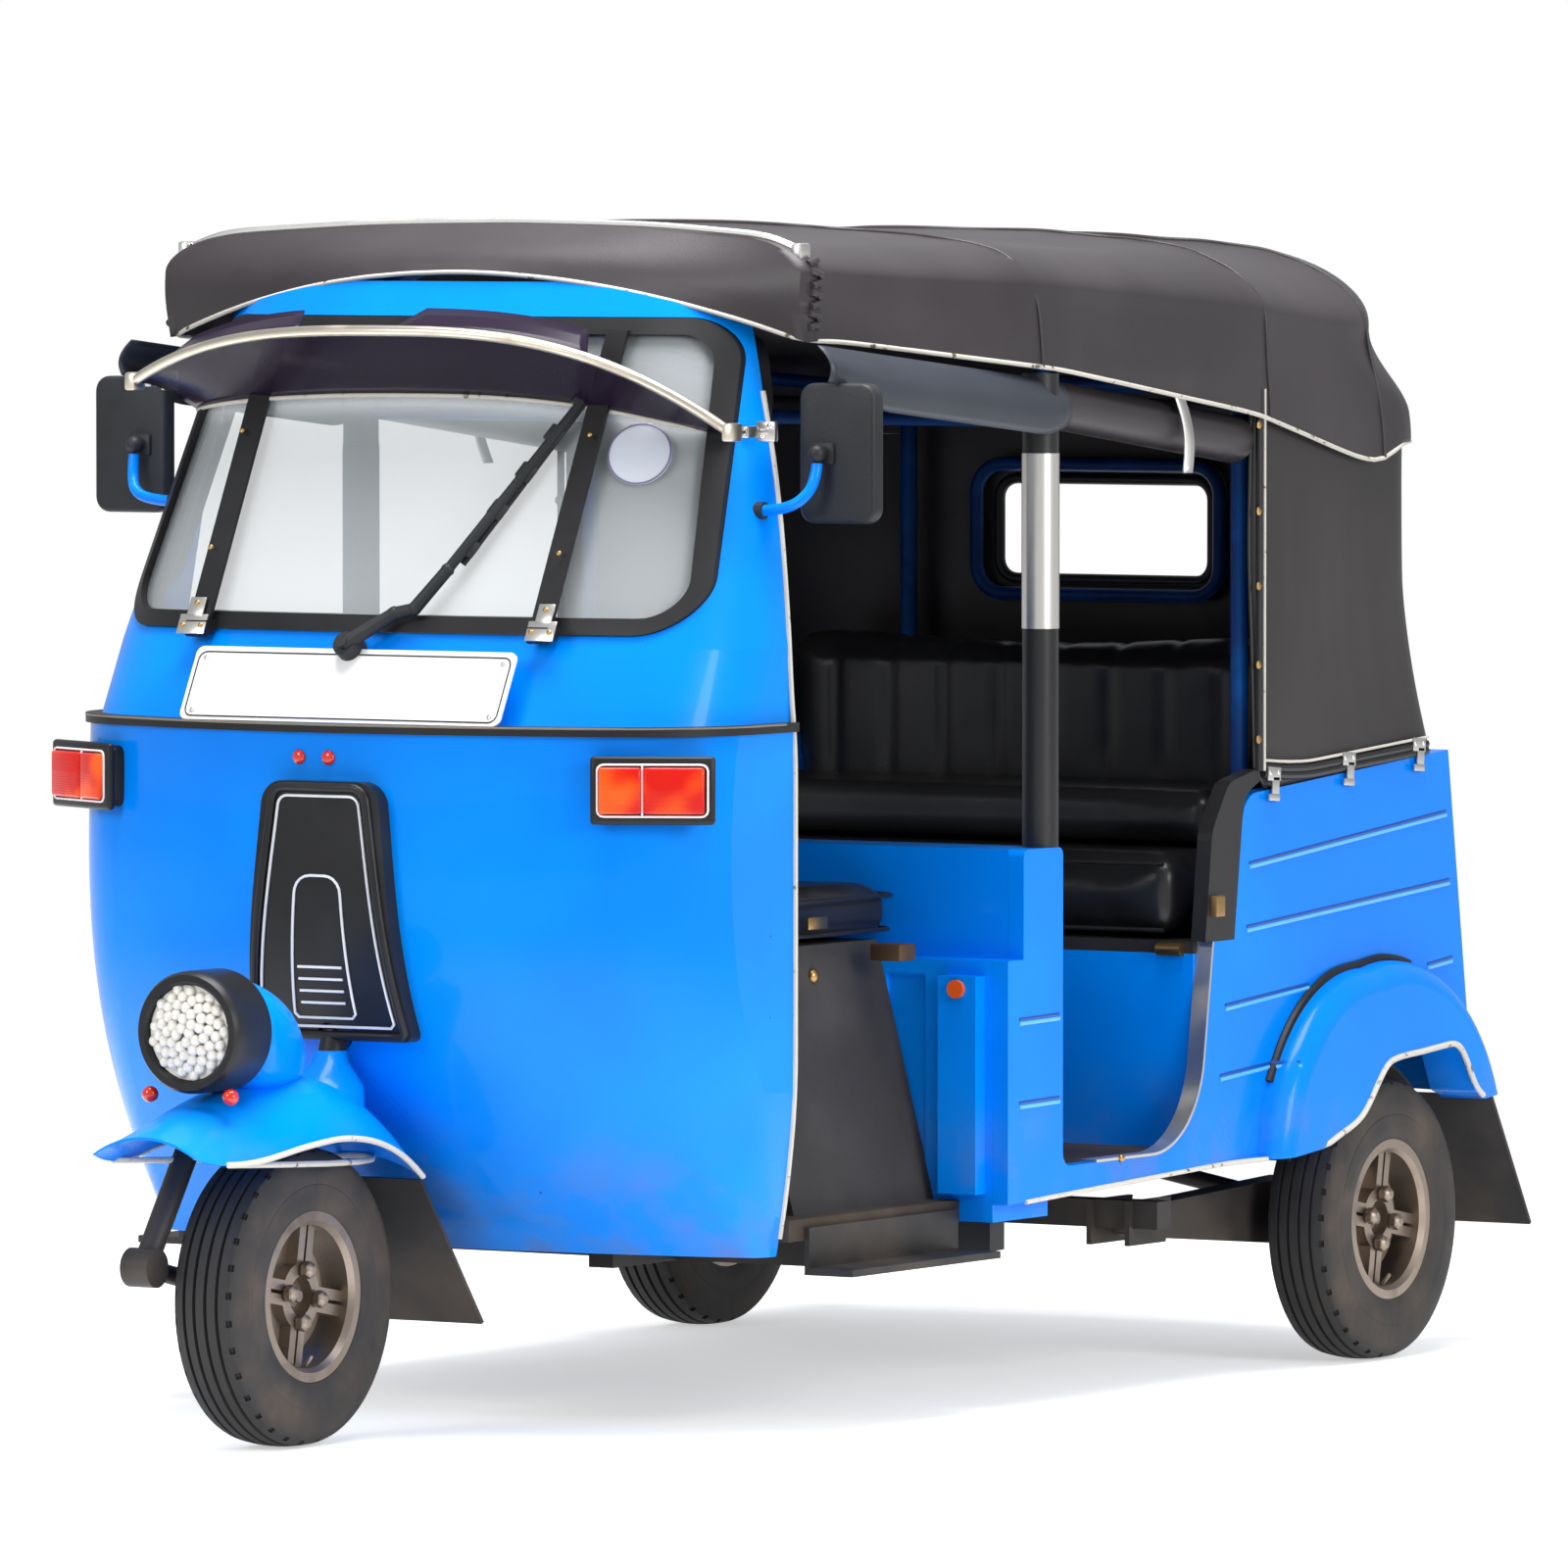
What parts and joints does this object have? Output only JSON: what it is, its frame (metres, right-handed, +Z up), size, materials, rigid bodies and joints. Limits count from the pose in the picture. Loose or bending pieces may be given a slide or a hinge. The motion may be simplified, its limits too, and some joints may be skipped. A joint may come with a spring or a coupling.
{
  "type": "auto rickshaw",
  "caption": "Passenger auto rickshaw with a steered front wheel, open cabin, padded rear seat and a folding-type soft top over a tubular frame.",
  "frame": {"origin": "on the ground, midway between the foremost and rearmost points and between the sides", "axes": "+X to the vehicle's left, +Y to its rear, +Z up"},
  "size_m": [1.3, 2.74, 1.6823],
  "materials": {
    "body_paint": "glossy bright blue",
    "glass": "clear",
    "rubber": "satin black",
    "black_panel": "satin black with pale outlines",
    "plate_white": "semi-gloss white",
    "lamp_red": "glossy red lens",
    "visor_tint": "tinted translucent",
    "black_plastic": "satin black",
    "frame_black": "satin black",
    "vinyl": "satin vinyl",
    "seat_vinyl": "padded vinyl",
    "floor_mat": "ribbed mat",
    "metal_trim": "brushed, worn",
    "sleeve": "brushed",
    "tyre": "dusty black",
    "alloy": "dusty bronze grey",
    "cast": "dull",
    "lamp_black": "satin black"
  },
  "bodies": {
    "chassis": {"cab_shell": "body_paint", "windscreen_glass": "glass", "windscreen_gasket": "rubber", "nose_cover": "black_panel", "waist_trim": "rubber", "number_plate": "plate_white", "front_indicators": "lamp_red", "side_panel_left": "body_paint", "side_panel_right": "body_paint", "wheelhouses": "frame_black", "floor_pan": "floor_mat", "door_steps": "frame_black", "rear_floor": "floor_mat", "partition": "body_paint", "driver_seat_base": "vinyl", "driver_seat": "seat_vinyl", "engine_bulkhead": "body_paint", "engine_deck": "frame_black", "passenger_seat_lower": "seat_vinyl", "passenger_seat_upper": "seat_vinyl", "passenger_backrest": "seat_vinyl", "rear_panel": "body_paint", "tail_lamps": "lamp_red", "rear_plate": "plate_white", "jamb_trims": "metal_trim", "quarter_bands": "vinyl", "chassis_frame": "frame_black", "engine": "cast", "silencer": "cast", "rear_arms": "frame_black", "rear_mudflaps": "rubber", "post_sleeves": "sleeve", "post_padding": "vinyl", "roof_frame": "body_paint", "canopy_top": "vinyl", "quarter_curtain_left": "vinyl", "quarter_curtain_right": "vinyl", "rear_curtain": "vinyl", "front_rail": "metal_trim", "rolled_curtains": "vinyl", "sun_visor": "visor_tint", "mirror_left": "black_plastic", "mirror_right": "black_plastic", "visor_straps": "rubber", "wiper": "black_plastic"},
    "steering": {"steering_fork": "frame_black", "handlebar": "frame_black", "front_fender": "body_paint", "headlamp": "lamp_black", "front_mudflap": "rubber"},
    "front_wheel": {"front_tyre": "tyre", "front_rim": "alloy"},
    "rear_wheel_left": {"rear_tyre_left": "tyre", "rear_rim_left": "alloy"},
    "rear_wheel_right": {"rear_tyre_right": "tyre", "rear_rim_right": "alloy"},
    "engine_cover": {"engine_lid": "body_paint"}
  },
  "joints": [
    {"name": "steering", "type": "hinge", "parent": "chassis", "child": "steering", "pos_m": [0, -1.03, 0.208], "axis": [0, 0.342, 0.9397], "range_deg": [-38, 38]},
    {"name": "front_wheel_spin", "type": "hinge", "parent": "steering", "child": "front_wheel", "pos_m": [0, -1.03, 0.208], "axis": [1, 0, 0], "continuous": true},
    {"name": "rear_left_spin", "type": "hinge", "parent": "chassis", "child": "rear_wheel_left", "pos_m": [0.575, 0.97, 0.208], "axis": [1, 0, 0], "continuous": true},
    {"name": "rear_right_spin", "type": "hinge", "parent": "chassis", "child": "rear_wheel_right", "pos_m": [-0.575, 0.97, 0.208], "axis": [1, 0, 0], "continuous": true},
    {"name": "engine_lid_hinge", "type": "hinge", "parent": "chassis", "child": "engine_cover", "pos_m": [0, 1.29877, 0.736], "axis": [1, 0, 0], "range_deg": [0, 75]}
  ]
}
